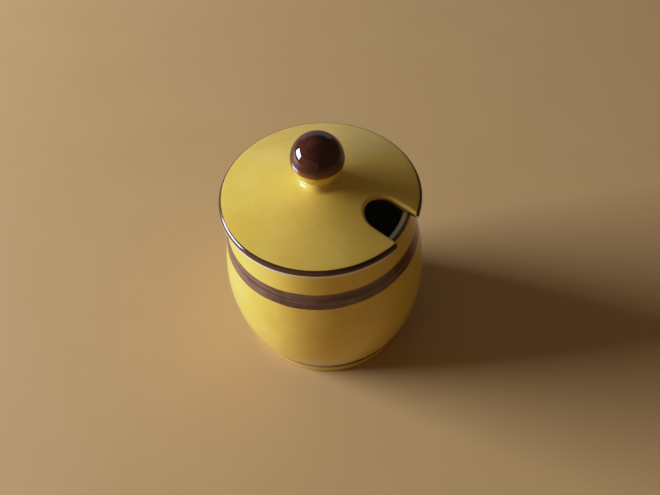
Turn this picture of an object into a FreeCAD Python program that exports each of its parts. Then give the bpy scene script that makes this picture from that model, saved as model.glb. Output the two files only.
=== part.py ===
"""Lidded jam pot in glazed earthenware: a barrel-shaped pot, a loose lid with a spoon notch, and a ball knob.

Millimetres, +Z up. The origin is the centre of the foot, on the surface the pot stands on. The spoon notch
opens towards +X, apart from its small turn.
"""
import FreeCAD, Part
import math
import os

# Driving dimensions
belly_radius = 47.1
belly_height = 40.0
rim_height = 86.2
lid_radius = 44.0
knob_radius = 11.4
wall = 3.6

# Pot: the outside is one arc below the belly, a second above it, then a straight shoulder up to the rim.
lower_arc_radius = 87.0
upper_arc_radius = 85.0
shoulder_angle = math.radians(10.5)
rim_round = 1.6
rim_inner_round = 0.6
foot_height = 5.8
foot_radius = 39.0
foot_round = 1.0
foot_ring_width = 5.0
foot_recess = 2.0
floor_height = 5.6
floor_round = 9.0

# Lid: a shallow cone with a rounded edge, on a flat bearing ring, with a low locating ridge inside the mouth.
ridge_gap = 1.8
ridge_width = 5.0
ridge_depth = 1.2
ridge_round = 1.1
edge_low_run = 3.0
edge_low_rise = 1.6
edge_high_round = 1.5
edge_height = 4.3
cone_rise = 6.9
lid_thickness = 4.0
neck_radius = 7.1
neck_cove = 3.2
knob_centre_height = rim_height + 23.7

# Spoon notch, cut by hand through the lid from its edge: a little askew, and wider below than above. Its width
# and its end belong to the lid's top surface, whose height midway along the notch is notch_top_height.
notch_width = 16.2
notch_end_centre = 31.0
notch_offset = 2.9
notch_turn = -6.0
notch_corner_round = 1.3
notch_undercut = 1.3
notch_top_height = rim_height + 6.6

axis_up = FreeCAD.Vector(0, 0, 1)
origin = FreeCAD.Vector(0, 0, 0)


def at(radius, height):
    """A point of a turned outline."""
    return FreeCAD.Vector(radius, 0, height)


def line(start, end):
    return Part.LineSegment(start, end).toShape()


def arc(centre, radius, start_degrees, end_degrees):
    """A circular arc in the outline's plane, with angles measured from the outward direction towards up."""
    points = []
    for share in (0.0, 0.5, 1.0):
        angle = math.radians(start_degrees + share * (end_degrees - start_degrees))
        points.append(centre + at(radius * math.cos(angle), radius * math.sin(angle)))
    return Part.Arc(*points).toShape()


def outline_face(edges):
    """Joins the edges, end to start, with straight lines where two of them don't meet."""
    closed = []
    for edge, following in zip(edges, edges[1:] + edges[:1]):
        closed.append(edge)
        gap_start = edge.lastVertex(True).Point
        gap_end = following.firstVertex(True).Point
        if gap_start.distanceToPoint(gap_end) > 1e-6:
            closed.append(line(gap_start, gap_end))
    return Part.Face(Part.Wire(closed))


def turned(edges):
    return outline_face(edges).revolve(origin, axis_up, 360)


def pot_solid():
    """The pot turned from one closed outline, from the foot ring up the outside and down the inside."""
    lower_centre = at(belly_radius - lower_arc_radius, belly_height)
    upper_centre = at(belly_radius - upper_arc_radius, belly_height)
    shoulder_degrees = math.degrees(shoulder_angle)
    outward = at(math.cos(shoulder_angle), math.sin(shoulder_angle))
    up_shoulder = at(-math.sin(shoulder_angle), math.cos(shoulder_angle))

    foot_degrees = -math.degrees(math.asin((belly_height - foot_height) / lower_arc_radius))
    shoulder_start = upper_centre + outward * upper_arc_radius

    # The rim's outer round touches both the shoulder line and the rim's flat top.
    round_centre_height = rim_height - rim_round
    round_line_start = shoulder_start - outward * rim_round
    along = (round_centre_height - round_line_start.z) / up_shoulder.z
    rim_round_centre = round_line_start + up_shoulder * along

    inner_shoulder_start = shoulder_start - outward * wall
    inner_along = (rim_height - rim_inner_round - inner_shoulder_start.z) / up_shoulder.z
    mouth_edge = inner_shoulder_start + up_shoulder * inner_along
    inner_round_centre = mouth_edge + at(rim_inner_round, 0)

    # The inside corner touches the floor and the inside of the lower arc.
    inner_lower_radius = lower_arc_radius - wall
    corner_drop = belly_height - floor_height - floor_round
    corner_reach = math.sqrt((inner_lower_radius - floor_round) ** 2 - corner_drop ** 2)
    corner_centre = at(lower_centre.x + corner_reach, floor_height + floor_round)
    corner_degrees = -math.degrees(math.atan2(corner_drop, corner_reach))

    foot_inner_radius = foot_radius - foot_ring_width
    return turned([
        line(at(0, floor_height), at(0, foot_recess)),
        line(at(0, foot_recess), at(foot_inner_radius - foot_round, foot_recess)),
        arc(at(foot_inner_radius + foot_round, foot_round), foot_round, 180, 270),
        arc(at(foot_radius - foot_round, foot_round), foot_round, -90, 0),
        arc(lower_centre, lower_arc_radius, foot_degrees, 0),
        arc(upper_centre, upper_arc_radius, 0, shoulder_degrees),
        arc(rim_round_centre, rim_round, shoulder_degrees, 90),
        arc(inner_round_centre, rim_inner_round, 90, 180),
        arc(upper_centre, upper_arc_radius - wall, shoulder_degrees, 0),
        arc(lower_centre, inner_lower_radius, 0, corner_degrees),
        arc(corner_centre, floor_round, corner_degrees, -90),
    ])


def mouth_radius():
    """The radius of the mouth, where the inside of the shoulder meets the rim's flat top."""
    rise = rim_height - belly_height - (upper_arc_radius - wall) * math.sin(shoulder_angle)
    start = belly_radius - upper_arc_radius + (upper_arc_radius - wall) * math.cos(shoulder_angle)
    return start - rise * math.tan(shoulder_angle)


def lid_outline():
    """The lid's half section: hollow underside, locating ridge, bearing ring, edge, cone and neck."""
    ridge_outer = mouth_radius() - ridge_gap
    ridge_inner = ridge_outer - ridge_width
    ridge_low = rim_height - ridge_depth
    neck_top = knob_centre_height - math.sqrt(knob_radius ** 2 - neck_radius ** 2)

    # Outside the rim the underside curves up, in an arc that starts flat, to the foot of the edge.
    edge_low_radius = (edge_low_run ** 2 + edge_low_rise ** 2) / (2 * edge_low_rise)
    edge_low = at(lid_radius - edge_low_run, rim_height + edge_low_radius)
    edge_low_degrees = -math.degrees(math.acos(edge_low_run / edge_low_radius))
    edge_high = at(lid_radius - edge_high_round, rim_height + edge_height - edge_high_round)

    # The cone leaves the edge round and runs up to the cove at the foot of the neck.
    cove_start_radius = neck_radius + neck_cove
    cone_run = lid_radius - edge_high_round - cove_start_radius
    cone_angle = math.atan2(cone_rise, cone_run)
    cone_degrees = math.degrees(cone_angle)
    cone_start = edge_high + at(math.sin(cone_angle), math.cos(cone_angle)) * edge_high_round
    slope = math.tan(cone_angle)
    cove_centre_height = cone_start.z + (cone_start.x - cove_start_radius) * slope
    cove_centre = at(cove_start_radius, cove_centre_height + neck_cove / math.cos(cone_angle))

    under_drop = lid_thickness / math.cos(cone_angle)
    under_height_at_ridge = cone_start.z + (cone_start.x - ridge_inner) * slope - under_drop
    under_height_at_neck = cone_start.z + (cone_start.x - neck_radius) * slope - under_drop
    return [
        line(at(0, neck_top), at(0, under_height_at_neck)),
        line(at(neck_radius, under_height_at_neck), at(ridge_inner, under_height_at_ridge)),
        arc(at(ridge_inner + ridge_round, ridge_low + ridge_round), ridge_round, 180, 270),
        arc(at(ridge_outer - ridge_round, ridge_low + ridge_round), ridge_round, -90, 0),
        line(at(ridge_outer, rim_height), at(edge_low.x, rim_height)),
        arc(edge_low, edge_low_radius, -90, edge_low_degrees),
        arc(edge_high, edge_high_round, 0, 90 - cone_degrees),
        arc(cove_centre, neck_cove, 270 - cone_degrees, 180),
        line(at(neck_radius, neck_top), at(0, neck_top)),
    ]


def notch_wire(height):
    """The notch's outline at a height: a slot with a half-round end, and corners that flare out at the edge."""
    widening = notch_undercut * (notch_top_height - height) / (notch_top_height - rim_height)
    half = notch_width / 2 + widening
    far_side = notch_offset + half
    near_side = notch_offset - half
    round_radius = notch_corner_round
    slant = round_radius * math.sqrt(0.5)
    beyond = lid_radius + 10.0

    def plan(x, y):
        return FreeCAD.Vector(x, y, height)

    def flare_x(side):
        return math.sqrt(lid_radius ** 2 - (abs(side) + round_radius) ** 2) - round_radius

    far_x = flare_x(far_side)
    near_x = flare_x(near_side)
    far_out = far_side + round_radius
    near_out = near_side - round_radius
    edges = [
        Part.Arc(plan(notch_end_centre, far_side), plan(notch_end_centre - half, notch_offset),
                 plan(notch_end_centre, near_side)).toShape(),
        line(plan(notch_end_centre, near_side), plan(near_x, near_side)),
        Part.Arc(plan(near_x, near_side), plan(near_x + slant, near_out + slant),
                 plan(near_x + round_radius, near_out)).toShape(),
        line(plan(near_x + round_radius, near_out), plan(beyond, near_out)),
        line(plan(beyond, near_out), plan(beyond, far_out)),
        line(plan(beyond, far_out), plan(far_x + round_radius, far_out)),
        Part.Arc(plan(far_x + round_radius, far_out), plan(far_x + slant, far_out - slant),
                 plan(far_x, far_side)).toShape(),
        line(plan(far_x, far_side), plan(notch_end_centre, far_side)),
    ]
    return Part.Wire(edges)


def notch_cutter():
    """The notch from below the ridge to above the cone, turned to where the notch lies."""
    below = notch_wire(rim_height - ridge_depth - 3.0)
    above = notch_wire(rim_height + 12.0)
    cutter = Part.makeLoft([below, above], True, True)
    cutter.rotate(origin, axis_up, notch_turn)
    return cutter


def lid_solid():
    return turned(lid_outline()).cut(notch_cutter())


def knob_solid():
    """A ball with a small flat where it is stuck to the neck."""
    flat_depth = math.sqrt(knob_radius ** 2 - neck_radius ** 2)
    flat_height = knob_centre_height - flat_depth
    flat_degrees = -math.degrees(math.asin(flat_depth / knob_radius))
    return turned([
        line(at(0, knob_centre_height + knob_radius), at(0, flat_height)),
        arc(at(0, knob_centre_height), knob_radius, flat_degrees, 90),
    ])


parts = {
    "pot": pot_solid(),
    "lid": lid_solid(),
    "lid_knob": knob_solid(),
}

os.makedirs("parts", exist_ok=True)
for name, shape in parts.items():
    solid = shape.Solids[0] if len(shape.Solids) == 1 else shape
    if not solid.isValid():
        raise ValueError(name + " is not a valid solid")
    solid.exportStep("parts/" + name + ".step")
    box = solid.BoundBox
    print(name, "solids", len(shape.Solids), "volume", round(solid.Volume), "mm3",
          "x", round(box.XMin, 2), round(box.XMax, 2), "z", round(box.ZMin, 2), round(box.ZMax, 2))
print("mouth radius", round(mouth_radius(), 2))
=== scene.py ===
import bpy
import numpy as np
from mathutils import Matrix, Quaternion, Vector


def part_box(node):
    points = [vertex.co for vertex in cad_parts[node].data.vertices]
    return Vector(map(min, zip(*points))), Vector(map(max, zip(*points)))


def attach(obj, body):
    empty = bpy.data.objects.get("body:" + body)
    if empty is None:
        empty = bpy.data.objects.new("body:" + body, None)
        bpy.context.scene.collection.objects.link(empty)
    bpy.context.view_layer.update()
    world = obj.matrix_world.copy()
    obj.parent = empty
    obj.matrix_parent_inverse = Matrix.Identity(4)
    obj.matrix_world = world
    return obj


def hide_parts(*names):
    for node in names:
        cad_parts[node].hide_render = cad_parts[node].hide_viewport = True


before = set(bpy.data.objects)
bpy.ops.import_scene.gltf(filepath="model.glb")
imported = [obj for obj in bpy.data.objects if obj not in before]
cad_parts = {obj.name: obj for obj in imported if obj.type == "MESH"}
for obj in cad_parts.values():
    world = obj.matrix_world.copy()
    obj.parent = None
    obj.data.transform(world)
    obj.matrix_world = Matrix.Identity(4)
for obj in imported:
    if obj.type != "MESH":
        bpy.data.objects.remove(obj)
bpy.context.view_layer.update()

# ---- The pot ---------------------------------------------------------------------------------------------
# A barrel-shaped pot of cream earthenware, slip-cast in one piece with its foot ring and rim. It is banded
# in brown with a brush on a wheel, glazed yellow outside and bluish white inside, and fired on its bare foot.
# Shapes are worked out in millimetres, and closed_skin turns them to metres.
MILLIMETRE = 0.001
rim_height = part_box("pot")[1].z / MILLIMETRE
belly_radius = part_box("pot")[1].x / MILLIMETRE
belly_height = 40.0
pot_wall = 3.6
lower_arc_radius = 87.0
upper_arc_radius = 85.0
shoulder_degrees = 10.5
foot_radius = 39.0
foot_height = 5.8
foot_round = 1.0
foot_recess = 2.0
foot_ring_width = 5.0
floor_height = 5.6
floor_round = 9.0
rim_round = 1.6
rim_inner_round = 0.7
rim_line_radius = 38.5
rim_line_width = 1.7
shoulder_band_low = 64.2
shoulder_band_high = 72.7
foot_band_low = 5.9
foot_band_high = 13.7
band_tilt = (-0.027, -0.011, 0.0)
brush_edge = 0.18
line_edge = 0.12
bare_foot_height = 0.4
pot_sway = 0.05
pooling_size = 22.0
cloud_size = 3.0
speck_spacing = 5.0
swell_height = 0.02
peel_height = 0.002
yellow = "#dab749"
pooled_yellow = "#e2c359"
cloudy_yellow = "#caa53c"
pale_speck = "#efe2b4"
thick_brown = "#422a1f"
worn_brown = "#755747"
inside_white = "#dfe8f0"
bare_clay = "#cfbf9f"


def arc(centre, radius, start, end):
    """Points 0.1 mm apart on a circle: centre + radius * (cos a, sin a), with a from start to end degrees."""
    count = int(abs(np.radians(end - start)) * radius / 0.1) + 3
    angle = np.radians(np.linspace(start, end, count))
    return np.stack([centre[0] + radius * np.cos(angle), centre[1] + radius * np.sin(angle)], axis=1)


def glaze_softened(outline, reach, flat_step, turn_step, closed=False):
    """The outline averaged with a bell curve of width reach along its length, as glaze softens a corner.

    It is then divided, with a point for every flat_step of length and one more for every turn_step degrees.
    """
    grain = 0.05
    if closed:
        outline = np.concatenate([outline, outline[:1]])
    travelled = np.r_[0.0, np.cumsum(np.hypot(*np.diff(outline, axis=0).T))]
    fine = np.linspace(0.0, travelled[-1], int(travelled[-1] / grain) + 1)
    points = np.stack([np.interp(fine, travelled, outline[:, i]) for i in (0, 1)], axis=1)
    half = int(4 * reach / grain)
    bell = np.exp(-0.5 * (np.arange(-half, half + 1) * grain / reach) ** 2)
    if closed:
        padded = np.concatenate([points[-half - 1:-1], points, points[1:half + 1]])
    else:
        padded = np.pad(points, ((half, half), (0, 0)), mode="reflect", reflect_type="odd")
    soft = np.stack([np.convolve(padded[:, i], bell / bell.sum(), mode="valid") for i in (0, 1)], axis=1)
    run = np.diff(soft, axis=0)
    heading = np.unwrap(np.arctan2(run[:, 1], run[:, 0]))
    turned = np.r_[0.0, np.abs(np.diff(heading)), 0.0]
    crowding = np.cumsum(grain / flat_step + np.degrees(turned) / turn_step)
    count = int(crowding[-1] - crowding[0])
    wanted = np.linspace(crowding[0], crowding[-1], count + 1)
    divided = np.stack([np.interp(wanted, crowding, soft[:, i]) for i in (0, 1)], axis=1)
    return divided[:-1] if closed else divided


def turned_rings(outline, columns, sway):
    """The outline turned about the upright axis, a little out of round, as hand-finished ware is.

    At angle a the radius falls short by sway * (1 - 0.6 * cos(2a + 0.7) - 0.4 * cos(3a + 2.1)), and by less
    within 20 mm of the axis.
    """
    angle = np.linspace(0.0, 2 * np.pi, columns, endpoint=False)
    lobes = 0.6 * np.cos(2 * angle + 0.7) + 0.4 * np.cos(3 * angle + 2.1) - 1.0
    radius = outline[:, :1] + sway * lobes * np.minimum(outline[:, :1] / 20.0, 1.0)
    height = np.broadcast_to(outline[:, 1:], radius.shape)
    return np.stack([radius * np.cos(angle), radius * np.sin(angle), height], axis=2)


def closed_skin(name, rings, marks):
    """A closed surface through rings of points, whose first and last rings are each a single point.

    rings[i, j] is point j of ring i in millimetres. Neighbouring points of neighbouring rings make faces of
    four corners, and fans of triangles close both ends. marks holds named numbers for the points, which are
    kept as attributes of the mesh.
    """
    rows, columns = rings.shape[:2]
    here = np.arange(columns)
    beside = np.roll(here, -1)
    low = 1 + np.arange(rows - 3)[:, None] * columns
    high = low + columns
    quads = np.stack([low + here, low + beside, high + beside, high + here], axis=2).reshape(-1, 4)
    tip = 1 + (rows - 2) * columns
    top = tip - columns
    fans = np.concatenate([
        np.stack([0 * here, 1 + beside, 1 + here], axis=1),
        np.stack([0 * here + tip, top + here, top + beside], axis=1),
    ])
    points = np.concatenate([rings[:1, 0], rings[1:-1].reshape(-1, 3), rings[-1:, 0]])
    triangles = np.concatenate([quads[:, [0, 1, 2]], quads[:, [0, 2, 3]], fans])
    a, b, c = points[triangles].transpose(1, 0, 2)
    if np.einsum("ij,ij->", a, np.cross(b, c)) < 0:
        quads, fans = quads[:, ::-1], fans[:, ::-1]
    mesh = bpy.data.meshes.new(name)
    mesh.from_pydata((points * MILLIMETRE).tolist(), [], quads.tolist() + fans.tolist())
    for mark, values in marks.items():
        spread = np.broadcast_to(values, (rows, columns))
        kept = np.concatenate([spread[:1, 0], spread[1:-1].ravel(), spread[-1:, 0]])
        mesh.attributes.new(mark, "FLOAT", "POINT").data.foreach_set("value", kept.astype(np.float32))
    mesh.shade_smooth()
    piece = bpy.data.objects.new(name, mesh)
    bpy.context.scene.collection.objects.link(piece)
    return piece


def pot_outline():
    """The pot's half section, from the middle of its underside up the outside, over the rim and inside."""
    lower = (belly_radius - lower_arc_radius, belly_height)
    upper = (belly_radius - upper_arc_radius, belly_height)
    tilt = np.radians(shoulder_degrees)
    outward = np.array([np.cos(tilt), np.sin(tilt)])
    climb = np.array([-np.sin(tilt), np.cos(tilt)])
    shoulder = np.array(upper) + outward * upper_arc_radius
    rim_start = shoulder - outward * rim_round
    rim_centre = rim_start + climb * (rim_height - rim_round - rim_start[1]) / climb[1]
    inner_start = shoulder - outward * pot_wall
    mouth = inner_start + climb * (rim_height - rim_inner_round - inner_start[1]) / climb[1]
    inner_radius = lower_arc_radius - pot_wall
    drop = belly_height - floor_height - floor_round
    reach = np.sqrt((inner_radius - floor_round) ** 2 - drop ** 2)
    foot_turn = -np.degrees(np.arcsin((belly_height - foot_height) / lower_arc_radius))
    corner_turn = -np.degrees(np.arctan2(drop, reach))
    foot_inner = foot_radius - foot_ring_width
    return np.concatenate([
        [(0.0, foot_recess), (foot_inner - foot_round, foot_recess)],
        arc((foot_inner + foot_round, foot_round), foot_round, 180, 270),
        arc((foot_radius - foot_round, foot_round), foot_round, -90, 0),
        arc(lower, lower_arc_radius, foot_turn, 0),
        arc(upper, upper_arc_radius, 0, shoulder_degrees),
        arc(rim_centre, rim_round, shoulder_degrees, 90),
        arc(mouth + (rim_inner_round, 0), rim_inner_round, 90, 180),
        arc(upper, upper_arc_radius - pot_wall, shoulder_degrees, 0),
        arc(lower, inner_radius, 0, corner_turn),
        arc((lower[0] + reach, floor_height + floor_round), floor_round, corner_turn, -90),
        [(0.0, floor_height)],
    ])


# past_rim is the distance along the section, inwards over the rim, from the inner edge of the rim's line.
outline = glaze_softened(pot_outline(), reach=0.35, flat_step=1.8, turn_step=4.0)
length = np.r_[0.0, np.cumsum(np.hypot(*np.diff(outline, axis=0).T))]
over_rim = outline[:, 1] > rim_height - rim_inner_round
crest = np.interp(-rim_line_radius, -outline[over_rim, 0], length[over_rim])
pot_rings = turned_rings(outline, columns=300, sway=pot_sway)
pot = closed_skin("pot_body", pot_rings, {"past_rim": (length - crest)[:, None]})
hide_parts("pot")
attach(pot, "pot")


def linear(hex_colour):
    """An sRGB hex colour as linear red, green, blue and alpha."""
    parts = np.array([int(hex_colour[i:i + 2], 16) for i in (1, 3, 5)]) / 255.0
    return (*np.where(parts <= 0.04045, parts / 12.92, ((parts + 0.055) / 1.055) ** 2.4), 1.0)


def add(tree, kind, inputs, out=0, **settings):
    """Adds a node, gives it its settings, sets or links its inputs, and returns its output number out.

    A Mix node's inputs go by number: 0 is the share, 2 and 3 are two numbers, and 6 and 7 are two colours.
    """
    node = tree.nodes.new("ShaderNode" + kind)
    for name, value in settings.items():
        setattr(node, name, value)
    for name, value in inputs.items():
        if isinstance(value, bpy.types.NodeSocket):
            tree.links.new(value, node.inputs[name])
        else:
            node.inputs[name].default_value = value
    return node.outputs[out]


def place_in_mm(tree):
    """The point on the piece, in its own coordinates, in millimetres."""
    metres = add(tree, "TexCoord", {}, out=3)
    return add(tree, "VectorMath", {0: metres, "Scale": 1 / MILLIMETRE}, operation="SCALE")


def radius_and_height(tree, place):
    """The point's distance from the upright axis, and its height."""
    flat = add(tree, "VectorMath", {0: place, 1: (1, 1, 0)}, operation="MULTIPLY")
    radius = add(tree, "VectorMath", {0: flat}, out=1, operation="LENGTH")
    return radius, add(tree, "SeparateXYZ", {0: place}, out=2)


def waver(tree, place, long_mm, long_size, short_mm, short_size):
    """How far a hand-held brush strays: a slow swing long_mm across and a fine one short_mm across."""
    slow = add(tree, "TexNoise", {"Vector": place, "Scale": 1 / long_mm, "Detail": 1.0})
    fine = add(tree, "TexNoise", {"Vector": place, "Scale": 1 / short_mm, "Detail": 2.0})
    swing = add(tree, "Math", {0: slow, 1: 2 * long_size, 2: -long_size}, operation="MULTIPLY_ADD")
    return add(tree, "Math", {0: fine, 1: 2 * short_size, 2: swing}, operation="MULTIPLY_ADD")


def past(tree, measure, edge, softness):
    """1 where measure is over edge and 0 where it is under, changing smoothly over softness to each side."""
    return add(tree, "MapRange", {
        "Value": measure, "From Min": edge - softness, "From Max": edge + softness,
    }, interpolation_type="SMOOTHSTEP")


def between(tree, measure, low, high, softness):
    """1 where measure lies between low and high and 0 elsewhere, with edges as soft as those of past."""
    over_low = past(tree, measure, low, softness)
    over_high = past(tree, measure, high, softness)
    return add(tree, "Math", {0: over_low, 1: over_high}, operation="SUBTRACT")


def yellow_glaze(tree, place):
    """Yellow glaze: it pools in wide patches, is cloudy in small ones, and has a few pale specks."""
    pooling = add(tree, "TexNoise", {
        "Vector": place, "Scale": 1 / pooling_size, "Detail": 3.0, "Roughness": 0.6,
    })
    pooled = add(tree, "MapRange", {"Value": pooling, "From Min": 0.35, "From Max": 0.68})
    colour = add(tree, "Mix", {
        0: pooled, 6: linear(yellow), 7: linear(pooled_yellow),
    }, out=2, data_type="RGBA")
    cloud = add(tree, "TexNoise", {"Vector": place, "Scale": 1 / cloud_size, "Detail": 3.0})
    clouded = add(tree, "MapRange", {"Value": cloud, "From Min": 0.45, "From Max": 0.75, "To Max": 0.22})
    colour = add(tree, "Mix", {0: clouded, 6: colour, 7: linear(cloudy_yellow)}, out=2, data_type="RGBA")
    spot = add(tree, "TexVoronoi", {"Vector": place, "Scale": 1 / speck_spacing})
    kind = add(tree, "TexVoronoi", {"Vector": place, "Scale": 1 / speck_spacing}, out=1)
    chosen = add(tree, "SeparateColor", {0: kind})
    size = add(tree, "MapRange", {"Value": chosen, "From Min": 0.62, "From Max": 1.0, "To Max": 0.08})
    speck = add(tree, "Math", {0: spot, 1: size}, operation="LESS_THAN")
    faint = add(tree, "Math", {0: speck, 1: 0.55}, operation="MULTIPLY")
    return add(tree, "Mix", {0: faint, 6: colour, 7: linear(pale_speck)}, out=2, data_type="RGBA")


def brushed_brown(tree, place, thick, worn):
    """Brown underglaze brushed on a turning wheel: streaks 1.2 mm apart, thicker and thinner over 9 mm."""
    drawn_out = add(tree, "VectorMath", {0: place, 1: (0.02, 0.02, 0.8)}, operation="MULTIPLY")
    streak = add(tree, "TexNoise", {"Vector": drawn_out, "Scale": 1.0, "Detail": 3.0, "Roughness": 0.6})
    blot = add(tree, "TexNoise", {"Vector": place, "Scale": 1 / 9.0, "Detail": 3.0})
    mixed = add(tree, "Math", {0: blot, 1: 0.6, 2: streak}, operation="MULTIPLY_ADD")
    thin = add(tree, "MapRange", {"Value": mixed, "From Min": 0.6, "From Max": 0.9})
    return add(tree, "Mix", {0: thin, 6: linear(thick), 7: linear(worn)}, out=2, data_type="RGBA")


def glaze_ripple(tree, place, swell, peel):
    """The normal of fired glaze: a swell 9 mm across and an orange peel 1.1 mm across, of given heights."""
    broad = add(tree, "TexNoise", {"Vector": place, "Scale": 1 / 9.0, "Detail": 1.0})
    fine = add(tree, "TexNoise", {"Vector": place, "Scale": 1 / 1.1, "Detail": 2.0})
    swelled = add(tree, "Bump", {"Height": broad, "Strength": 1.0, "Distance": swell * MILLIMETRE})
    return add(tree, "Bump", {
        "Height": fine, "Strength": 1.0, "Distance": peel * MILLIMETRE, "Normal": swelled,
    })


def fired_surface(tree, colour, roughness, normal):
    """Glazed earthenware: a coloured body under clear glass, with the IOR of a lead-free glaze."""
    surface = add(tree, "BsdfPrincipled", {
        "Base Color": colour, "Roughness": roughness, "Normal": normal, "IOR": 1.52, "Metallic": 0.0,
    })
    tree.links.new(surface, tree.nodes.new("ShaderNodeOutputMaterial").inputs[0])


def dressed(piece, name):
    """A new empty material on the piece, and its node tree."""
    material = bpy.data.materials.new(name)
    material.use_nodes = True
    material.node_tree.nodes.clear()
    piece.data.materials.append(material)
    return material.node_tree


# Yellow-glazed earthenware, dipped and banded: glossy, faintly rippled, deeper where the glaze pools.
tree = dressed(pot, "yellow_glazed_banded_earthenware")
place = place_in_mm(tree)
radius, height = radius_and_height(tree, place)
past_rim = add(tree, "Attribute", {}, out=2, attribute_name="past_rim")
stray = waver(tree, place, long_mm=16.0, long_size=0.45, short_mm=1.6, short_size=0.12)
tilt_share = add(tree, "VectorMath", {0: place, 1: band_tilt}, out=1, operation="DOT_PRODUCT")
level = add(tree, "Math", {0: height, 1: tilt_share}, operation="ADD")
strayed = add(tree, "Math", {0: level, 1: stray}, operation="ADD")
small_stray = add(tree, "Math", {0: stray, 1: 0.35, 2: past_rim}, operation="MULTIPLY_ADD")
shoulder_band = between(tree, strayed, shoulder_band_low, shoulder_band_high, brush_edge)
foot_band = between(tree, strayed, foot_band_low, foot_band_high, brush_edge)
rim_line = between(tree, small_stray, -rim_line_width, 0.0, line_edge)
bands = add(tree, "Math", {0: shoulder_band, 1: foot_band}, operation="MAXIMUM")
bands = add(tree, "Math", {0: bands, 1: rim_line}, operation="MAXIMUM")
elsewhere = add(tree, "Math", {
    0: past(tree, radius, foot_radius - foot_round, 0.1), 1: past(tree, height, foot_recess + 0.6, 0.2),
}, operation="MAXIMUM")
underside = add(tree, "Math", {0: 1.0, 1: elsewhere}, operation="SUBTRACT")
inside = past(tree, small_stray, 0.0, line_edge)
pale = add(tree, "Math", {0: inside, 1: underside}, operation="MAXIMUM")
glazed = past(tree, height, bare_foot_height, line_edge)
colour = yellow_glaze(tree, place)
brown = brushed_brown(tree, place, thick_brown, worn_brown)
colour = add(tree, "Mix", {0: bands, 6: colour, 7: brown}, out=2, data_type="RGBA")
colour = add(tree, "Mix", {0: pale, 6: colour, 7: linear(inside_white)}, out=2, data_type="RGBA")
colour = add(tree, "Mix", {0: glazed, 6: linear(bare_clay), 7: colour}, out=2, data_type="RGBA")
gloss = add(tree, "TexNoise", {"Vector": place, "Scale": 1 / 12.0, "Detail": 3.0})
roughness = add(tree, "MapRange", {"Value": gloss, "To Min": 0.09, "To Max": 0.17})
roughness = add(tree, "Mix", {0: glazed, 2: 0.8, 3: roughness}, out=0, data_type="FLOAT")
fired_surface(tree, colour, roughness, glaze_ripple(tree, place, swell_height, peel_height))

# ---- The lid ---------------------------------------------------------------------------------------------
# A shallow cone of the same earthenware, which lies loose on the rim and is kept from sliding by a low ridge
# inside the mouth. The spoon notch is cut out of the soft clay, and a brown line is brushed round the edge.
lid_low, lid_high = (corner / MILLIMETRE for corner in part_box("lid"))
lid_radius = -lid_low.x
lid_edge_height = 4.3
lid_edge_high_round = 1.5
lid_edge_low_inset = 2.0
lid_edge_low_lift = 1.0
cone_rise = 6.9
lid_thickness = 4.0
neck_radius = 7.1
neck_cove = 3.2
ridge_outer = 34.5
ridge_inner = 29.5
ridge_low = rim_height - 1.2
ridge_round = 1.1
middle_lowered = 0.8
notch_half_width = 8.45
notch_end_centre = (31.2, 3.25)
notch_degrees = -6.0
notch_far_spread = 2.3
notch_fade = 3.0
notch_corner_round = 1.3
notch_high_round = 1.2
notch_low_inset = 0.7
notch_low_lift = 0.9
notch_undercut = 1.3
corner_wear = 1.2
corner_round_most = 1.0
corner_reach = 3.0
ridge_set_back = 4.0
ridge_run_out = 6.0
hub_radius = 16.0
ring_step = 0.0007
edge_line_inner = 42.8
edge_line_low = 88.25
thick_line_brown = "#2b1811"
worn_line_brown = "#4d3020"
underside_cream = "#e3dcc2"

cone_angle = np.arctan2(cone_rise, lid_radius - lid_edge_high_round - neck_radius - neck_cove)
cone_start = (lid_radius - lid_edge_high_round + lid_edge_high_round * np.sin(cone_angle),
              rim_height + lid_edge_height - lid_edge_high_round * (1 - np.cos(cone_angle)))


def cone_height(radius):
    """The lid's top surface: a straight slope down from the neck to the edge."""
    return cone_start[1] + (cone_start[0] - radius) * np.tan(cone_angle)


def hub_outline():
    """The top of the lid near its middle: across the neck's top, down its cove, and out along the cone."""
    cove_radius = neck_radius + neck_cove
    cove_centre = (cove_radius, cone_height(cove_radius) + neck_cove / np.cos(cone_angle))
    return np.concatenate([
        [(0.0, lid_high.z), (neck_radius, lid_high.z)],
        arc(cove_centre, neck_cove, 180, 270 - np.degrees(cone_angle)),
        [(hub_radius, cone_height(hub_radius))],
    ])


def under_outline():
    """The underside from the bearing ring inwards: over the ridge, then up and along under the cone."""
    drop = lid_thickness / np.cos(cone_angle)
    return np.concatenate([
        [(lid_radius, rim_height), (ridge_outer + 0.1, rim_height)],
        arc((ridge_outer - ridge_round, ridge_low + ridge_round), ridge_round, 0, -90),
        arc((ridge_inner + ridge_round, ridge_low + ridge_round), ridge_round, 270, 180),
        [(ridge_inner - 0.3, cone_height(ridge_inner) - drop)],
        [(0.0, cone_height(0.0) - drop - middle_lowered)],
    ])


def corner_centre(edge):
    """The middle of the small round between the rim and the notch's side at y = edge."""
    flare = abs(edge) + notch_corner_round
    return np.array([np.sqrt(lid_radius ** 2 - flare ** 2) - notch_corner_round, np.sign(edge) * flare])


run_out = (lid_radius - notch_end_centre[0] - notch_corner_round) * np.tan(np.radians(notch_far_spread))
far_corner = corner_centre(notch_end_centre[1] + notch_half_width + run_out)
near_corner = corner_centre(notch_end_centre[1] - notch_half_width)


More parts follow.
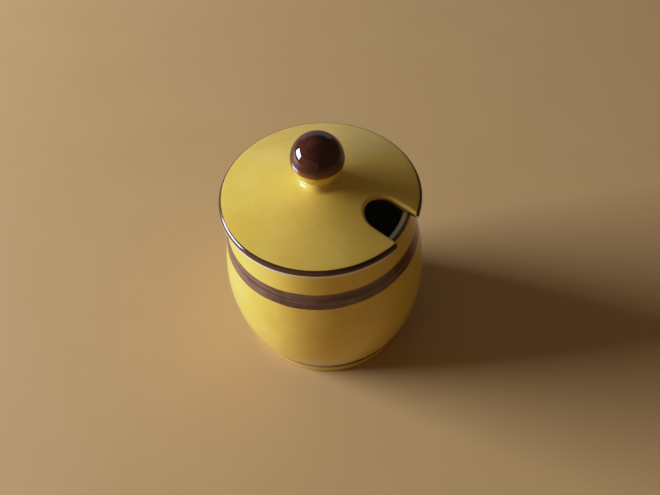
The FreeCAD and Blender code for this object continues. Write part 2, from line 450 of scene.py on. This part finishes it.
def plan_outline():
    """The lid seen from above: round the notch's inner end, out along a side, round the rim and back in."""
    far_degrees, near_degrees = np.degrees(np.arcsin(np.abs([far_corner[1], near_corner[1]]) / lid_radius))
    return np.concatenate([
        arc(notch_end_centre, notch_half_width, 180, 90 + notch_far_spread),
        arc(far_corner, notch_corner_round, -90, 0),
        arc((0.0, 0.0), lid_radius, far_degrees, 360 - near_degrees),
        arc(near_corner, notch_corner_round, 0, 90),
        arc(notch_end_centre, notch_half_width, 270, 180)[:-1],
    ])


def lid_rings():
    """Rings from the neck's top outwards, over the edge, and back under to the middle.

    On the top, each ring is a share of the way along spokes from the hub to the plan outline, as high as the
    cone. Round the edge, a ring at angle a is inset e * (1 - cos a) and lowered e * (1 - sin a), for a round
    of e mm. Underneath, each ring keeps to one radius of the section, or to the spoke's end where that is
    nearer. The ridge stops ridge_set_back short of the notch, and its end fades away over ridge_run_out.
    From the lid's edge inwards along the notch, the rounds become the notch's own over notch_fade mm. Near
    the notch's two corners they are held back, and the foot of the wall is worn upwards.
    """
    plan = glaze_softened(plan_outline(), reach=0.3, flat_step=0.62, turn_step=5.0, closed=True)
    along = np.roll(plan, -1, axis=0) - np.roll(plan, 1, axis=0)
    along /= np.hypot(*along.T)[:, None]
    outward = np.stack([along[:, 1], -along[:, 0]], axis=1)
    plan_angle = np.degrees(np.arctan2(plan[:, 1], plan[:, 0])) % 360
    plan_radius = np.hypot(*plan.T)
    inwards = np.clip((lid_radius - 0.2 - plan_radius) / notch_fade, 0.0, 1.0)
    on_notch = inwards ** 2 * (3 - 2 * inwards)

    travelled = np.r_[0.0, np.cumsum(np.hypot(*np.diff(plan, axis=0).T))]
    whole = travelled[-1] + np.hypot(*(plan[0] - plan[-1]))
    on_back = travelled[(plan_angle > 90) & (plan_angle < 270)]
    round_end = notch_half_width * np.pi / 2
    side_end = round_end + lid_radius - notch_end_centre[0]
    # Spokes fan out from the hub to the notch's round end, its sides and the rim, so that rings stay even.
    stops = [0.0, round_end, side_end, on_back[0], on_back[-1], whole - side_end, whole - round_end, whole]
    fan = [6.0, 45.0, 62.0, 90.0, 270.0, 310.0, 325.0, 366.0]
    spoke_angle = np.radians(np.interp(travelled, stops, fan))
    ray = np.stack([np.cos(spoke_angle), np.sin(spoke_angle)], axis=1)
    hub = hub_radius * ray

    high_round = lid_edge_high_round + (notch_high_round - lid_edge_high_round) * on_notch
    low_inset = lid_edge_low_inset + (notch_low_inset - lid_edge_low_inset) * on_notch
    low_lift = lid_edge_low_lift + (notch_low_lift - lid_edge_low_lift) * on_notch
    undercut = notch_undercut * on_notch
    from_corner = np.minimum(np.hypot(*(plan - far_corner).T), np.hypot(*(plan - near_corner).T))
    nearness = np.exp(-((from_corner - notch_corner_round) / corner_reach) ** 2)
    high_round -= nearness * np.maximum(high_round - corner_round_most, 0.0)
    low_inset -= nearness * np.maximum(low_inset - corner_round_most, 0.0)
    low_lift += nearness * corner_wear

    rings, marks = [], []
    for radius, z in glaze_softened(hub_outline(), reach=0.22, flat_step=0.7, turn_step=6.0):
        rings.append(np.column_stack([radius * ray, np.full(len(ray), z)]))
        marks.append(0.0)
    shelf = plan - outward * high_round[:, None]
    for share in np.linspace(0.0, 1.0, 22)[1:-1]:
        flat = hub + (shelf - hub) * share
        rings.append(np.column_stack([flat, cone_height(np.hypot(*flat.T))]))
        marks.append(0.0)
    for turn in np.radians(np.linspace(90, 0, 9)):
        flat = plan - outward * (high_round * (1 - np.cos(turn)))[:, None]
        drop = high_round * (1 - np.sin(turn))
        rings.append(np.column_stack([flat, cone_height(np.hypot(*flat.T)) - drop]))
        marks.append(0.0)

    section = under_outline()
    under = glaze_softened(section, reach=0.25, flat_step=0.9, turn_step=7.0)[::-1]
    ridgeless = np.delete(section, slice(2, -2), axis=0)
    plain = glaze_softened(ridgeless, reach=0.8, flat_step=0.9, turn_step=7.0)[::-1]
    wall_top = rings[-1][:, 2]
    wall_plan = plan - outward * undercut[:, None]
    wall_foot = np.interp(np.hypot(*wall_plan.T), *plain.T) + low_lift
    for share in (0.25, 0.5, 0.75):
        flat = plan + (wall_plan - plan) * share
        rings.append(np.column_stack([flat, wall_top + (wall_foot - wall_top) * share]))
        marks.append(0.0)
    for turn in np.radians(np.linspace(0, 90, 10)):
        flat = wall_plan - outward * (low_inset * (1 - np.cos(turn)))[:, None]
        lift = low_lift * (1 - np.sin(turn))
        rings.append(np.column_stack([flat, np.interp(np.hypot(*flat.T), *plain.T) + lift]))
        marks.append(turn / np.radians(90))
    seat = rings[-1][:, :2]
    seat_radius = np.hypot(*seat.T)
    reach = seat - hub
    toward = np.sum(hub * reach, axis=1)
    span = np.sum(reach ** 2, axis=1)
    for number, radius in enumerate(under[::-1, 0]):
        held = np.minimum(radius, seat_radius * (1 - ring_step * (number + 1)))
        outside = np.maximum(held ** 2 - hub_radius ** 2, 0.0)
        share = (np.sqrt(toward ** 2 + span * outside) - toward) / span
        flat = np.where((held > hub_radius)[:, None], hub + reach * share[:, None], held[:, None] * ray)
        aside = flat - notch_end_centre
        from_notch = np.hypot(np.minimum(aside[:, 0], 0.0), aside[:, 1]) - notch_half_width
        grown = np.clip((from_notch - ridge_set_back) / ridge_run_out, 0.0, 1.0)
        plain_height, full_height = (np.interp(np.hypot(*flat.T), *line.T) for line in (plain, under))
        height = plain_height + (full_height - plain_height) * grown ** 2 * (3 - 2 * grown)
        rings.append(np.column_stack([flat, height]))
        marks.append(1.0)
    rings = np.array(rings)
    askew = np.radians(notch_degrees)
    rings[:, :, :2] = rings[:, :, :2] @ [[np.cos(askew), np.sin(askew)], [-np.sin(askew), np.cos(askew)]]
    return rings, np.array(marks)[:, None]


# turned_under is 0 on the top and the wall, and rises to 1 round the lower edge and all over the underside.
rings_of_lid, underneath = lid_rings()
lid = closed_skin("lid_body", rings_of_lid, {"turned_under": underneath})
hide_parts("lid")
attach(lid, "lid")

# The same yellow glaze, with a brown line on the edge. The underside is cream, and its bearing ring is wiped
# clean of glaze before firing, so it is bare and dull.
tree = dressed(lid, "yellow_glazed_lined_earthenware")
place = place_in_mm(tree)
radius, height = radius_and_height(tree, place)
turned_under = add(tree, "Attribute", {}, out=2, attribute_name="turned_under")
stray = waver(tree, place, long_mm=12.0, long_size=0.18, short_mm=1.4, short_size=0.08)
strayed_radius = add(tree, "Math", {0: radius, 1: stray}, operation="ADD")
strayed_height = add(tree, "Math", {0: height, 1: stray}, operation="ADD")
outer = past(tree, strayed_radius, edge_line_inner, 0.1)
upper = past(tree, strayed_height, edge_line_low, 0.1)
edge_line = add(tree, "Math", {0: outer, 1: upper}, operation="MULTIPLY")
below_line = add(tree, "Math", {0: outer, 1: edge_line}, operation="SUBTRACT")
beneath = past(tree, turned_under, 0.5, 0.3)
pale = add(tree, "Math", {0: beneath, 1: below_line}, operation="MAXIMUM")
seated = past(tree, strayed_radius, ridge_outer + 0.6, 0.15)
bare = add(tree, "Math", {0: past(tree, turned_under, 0.9, 0.05), 1: seated}, operation="MULTIPLY")
colour = yellow_glaze(tree, place)
brown = brushed_brown(tree, place, thick_line_brown, worn_line_brown)
colour = add(tree, "Mix", {0: edge_line, 6: colour, 7: brown}, out=2, data_type="RGBA")
colour = add(tree, "Mix", {0: pale, 6: colour, 7: linear(underside_cream)}, out=2, data_type="RGBA")
colour = add(tree, "Mix", {0: bare, 6: colour, 7: linear(bare_clay)}, out=2, data_type="RGBA")
gloss = add(tree, "TexNoise", {"Vector": place, "Scale": 1 / 12.0, "Detail": 3.0})
roughness = add(tree, "MapRange", {"Value": gloss, "To Min": 0.10, "To Max": 0.19})
roughness = add(tree, "Mix", {0: bare, 2: roughness, 3: 0.8}, out=0, data_type="FLOAT")
fired_surface(tree, colour, roughness, glaze_ripple(tree, place, swell_height, peel_height))

# ---- The knob --------------------------------------------------------------------------------------------
# A clay ball stuck to the lid's neck with slip before firing. It is glazed yellow with the lid, and then
# brushed with a thick dark brown glaze down to just below its middle.
knob_low, knob_high = (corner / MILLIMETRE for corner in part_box("lid_knob"))
knob_radius = knob_high.x
knob_centre = knob_high.z - knob_radius
brown_edge_height = knob_centre - 0.9
brown_thickness = 0.12
knob_sway = 0.03
knob_swell_height = 0.012
knob_peel_height = 0.0012
dark_brown = "#3a1b14"
thin_brown = "#50281d"
thin_glaze_and_lid_glow_brown = "#864a21"
thin_glaze_and_lid_glow_reach = 4.5


def knob_outline():
    """A ball with a flat underneath. Below the brown glaze it is slimmer by that glaze's thickness."""
    flat_degrees = np.degrees(np.arcsin((knob_low.z - knob_centre) / knob_radius))
    ball = arc((0.0, knob_centre), knob_radius, flat_degrees, 90)
    coated = 0.5 + 0.5 * np.tanh((ball[:, 1] - brown_edge_height) / 0.25)
    away = ball - (0.0, knob_centre)
    ball = ball - away / knob_radius * (brown_thickness * (1 - coated))[:, None]
    return np.concatenate([[(0.0, knob_low.z)], ball])


outline = glaze_softened(knob_outline(), reach=0.08, flat_step=0.4, turn_step=6.0)
knob = closed_skin("knob_ball", turned_rings(outline, columns=160, sway=knob_sway), {})
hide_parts("lid_knob")
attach(knob, "lid")

# Dark red-brown glaze, thick and very glossy, over the yellow. Low down it turns a warmer brown, partly
# thinner glaze and partly a painted reflection of the yellow lid.
tree = dressed(knob, "dark_brown_glazed_earthenware")
place = place_in_mm(tree)
height = add(tree, "SeparateXYZ", {0: place}, out=2)
stray = waver(tree, place, long_mm=8.0, long_size=0.45, short_mm=1.2, short_size=0.08)
strayed = add(tree, "Math", {0: height, 1: stray}, operation="ADD")
brown = past(tree, strayed, brown_edge_height, line_edge)
depth = add(tree, "TexNoise", {"Vector": place, "Scale": 1 / 5.0, "Detail": 3.0})
thin = add(tree, "MapRange", {"Value": depth, "From Min": 0.4, "From Max": 0.7})
dark = add(tree, "Mix", {0: thin, 6: linear(dark_brown), 7: linear(thin_brown)}, out=2, data_type="RGBA")
# A warmer brown over the lowest 4.5 mm of the brown glaze: thinner glaze, and a painted reflection of the
# yellow lid beneath.
thin_glaze_and_lid_glow = add(tree, "MapRange", {
    "Value": strayed, "From Min": brown_edge_height, "From Max": brown_edge_height + thin_glaze_and_lid_glow_reach,
    "To Min": 0.95, "To Max": 0.0,
}, interpolation_type="SMOOTHSTEP")
dark = add(tree, "Mix", {0: thin_glaze_and_lid_glow, 6: dark, 7: linear(thin_glaze_and_lid_glow_brown)}, out=2, data_type="RGBA")
colour = add(tree, "Mix", {0: brown, 6: yellow_glaze(tree, place), 7: dark}, out=2, data_type="RGBA")
roughness = add(tree, "MapRange", {"Value": depth, "To Min": 0.03, "To Max": 0.08})
fired_surface(tree, colour, roughness, glaze_ripple(tree, place, knob_swell_height, knob_peel_height))

# ---- The floor -------------------------------------------------------------------------------------------
# A plain pale floor of waxed plaster with a dull shine, which runs on to the horizon.
floor_reach = 15.0
floor_patch_size = 60.0
floor_tone = "#bf9d64"
floor_patch = "#c5a56b"
floor_points = np.array([(-1, -1, 0), (1, -1, 0), (1, 1, 0), (-1, 1, 0)]) * floor_reach
floor_mesh = bpy.data.meshes.new("floor")
floor_mesh.from_pydata(floor_points.tolist(), [], [(0, 1, 2, 3)])
floor = bpy.data.objects.new("floor", floor_mesh)
bpy.context.scene.collection.objects.link(floor)
tree = dressed(floor, "waxed_plaster")
patch = add(tree, "TexNoise", {"Vector": place_in_mm(tree), "Scale": 1 / floor_patch_size, "Detail": 4.0})
colour = add(tree, "Mix", {
    0: patch, 6: linear(floor_tone), 7: linear(floor_patch),
}, out=2, data_type="RGBA")
waxed = add(tree, "BsdfPrincipled", {
    "Base Color": colour, "Roughness": 0.6, "IOR": 1.45, "Specular IOR Level": 0.3,
})
tree.links.new(waxed, tree.nodes.new("ShaderNodeOutputMaterial").inputs[0])

# ---- Light and camera ------------------------------------------------------------------------------------
# A low window light from one side throws a long soft shadow. A dim cool light behind the object, a dim warm
# one at its side and a weak warm glow from all round fill the shade.
object_middle = Vector((0.0, 0.0, 0.06))
room_colour = "#ffdab0"
room_strength = 0.10


def direction(azimuth, elevation):
    """A step of length 1, azimuth degrees round from +X towards +Y and elevation degrees upwards."""
    turn, climb = np.radians(azimuth), np.radians(elevation)
    return Vector((np.cos(turn) * np.cos(climb), np.sin(turn) * np.cos(climb), np.sin(climb)))


def window(name, azimuth, elevation, distance, wide, tall, power, hex_colour):
    """A rectangular light, turned towards the object. Sizes are in metres and its power in watts."""
    away = direction(azimuth, elevation)
    lamp = bpy.data.lights.new(name, "AREA")
    lamp.shape = "RECTANGLE"
    lamp.size, lamp.size_y = wide, tall
    lamp.energy = power
    lamp.color = linear(hex_colour)[:3]
    light = bpy.data.objects.new(name, lamp)
    light.location = object_middle + away * distance
    light.rotation_euler = away.to_track_quat("Z", "Y").to_euler()
    bpy.context.scene.collection.objects.link(light)


window("window_light", azimuth=203.7, elevation=15.5, distance=2.0,
       wide=1.1, tall=0.55, power=108.0, hex_colour="#dfe4ff")
window("back_light", azimuth=123.0, elevation=14.0, distance=2.6,
       wide=3.4, tall=1.3, power=6.5, hex_colour="#bcd2ff")
window("side_light", azimuth=-91.0, elevation=12.0, distance=2.6,
       wide=3.6, tall=1.8, power=7.0, hex_colour="#ffca8c")

world = bpy.data.worlds.new("room")
world.use_nodes = True
world.node_tree.nodes["Background"].inputs["Color"].default_value = linear(room_colour)
world.node_tree.nodes["Background"].inputs["Strength"].default_value = room_strength
bpy.context.scene.world = world

# Tones up to 0.5 are shown as they are, and brighter ones are held back, up to 4 times white.
view = bpy.context.scene.view_settings
view.view_transform = "Standard"
view.use_curve_mapping = True
brightest = 4.0
held_back = ((0.5, 0.5), (0.8, 0.71), (1.2, 0.84), (2.0, 0.94))
view.curve_mapping.white_level = (brightest, brightest, brightest)
tone = view.curve_mapping.curves[3]
for scene_value, shown_value in held_back:
    tone.points.new(scene_value / brightest, shown_value)
for point in tone.points[:2]:
    point.handle_type = "VECTOR"
view.curve_mapping.update()

# The camera looks down at 52 degrees, from 57 degrees round from +X towards -Y, and leans a little.
camera_azimuth = -57.0
camera_elevation = 52.03
camera_lean = -3.793
camera_place = (0.11395, -0.17039, 0.31283)
focal_length = 38.18
lens = bpy.data.cameras.new("camera")
lens.lens = focal_length
lens.sensor_width = 36.0
camera = bpy.data.objects.new("camera", lens)
facing = direction(camera_azimuth, camera_elevation).to_track_quat("Z", "Y")
leaning = Quaternion((0.0, 0.0, 1.0), np.radians(camera_lean))
camera.location = camera_place
camera.rotation_euler = (facing @ leaning).to_euler()
bpy.context.scene.collection.objects.link(camera)
bpy.context.scene.camera = camera
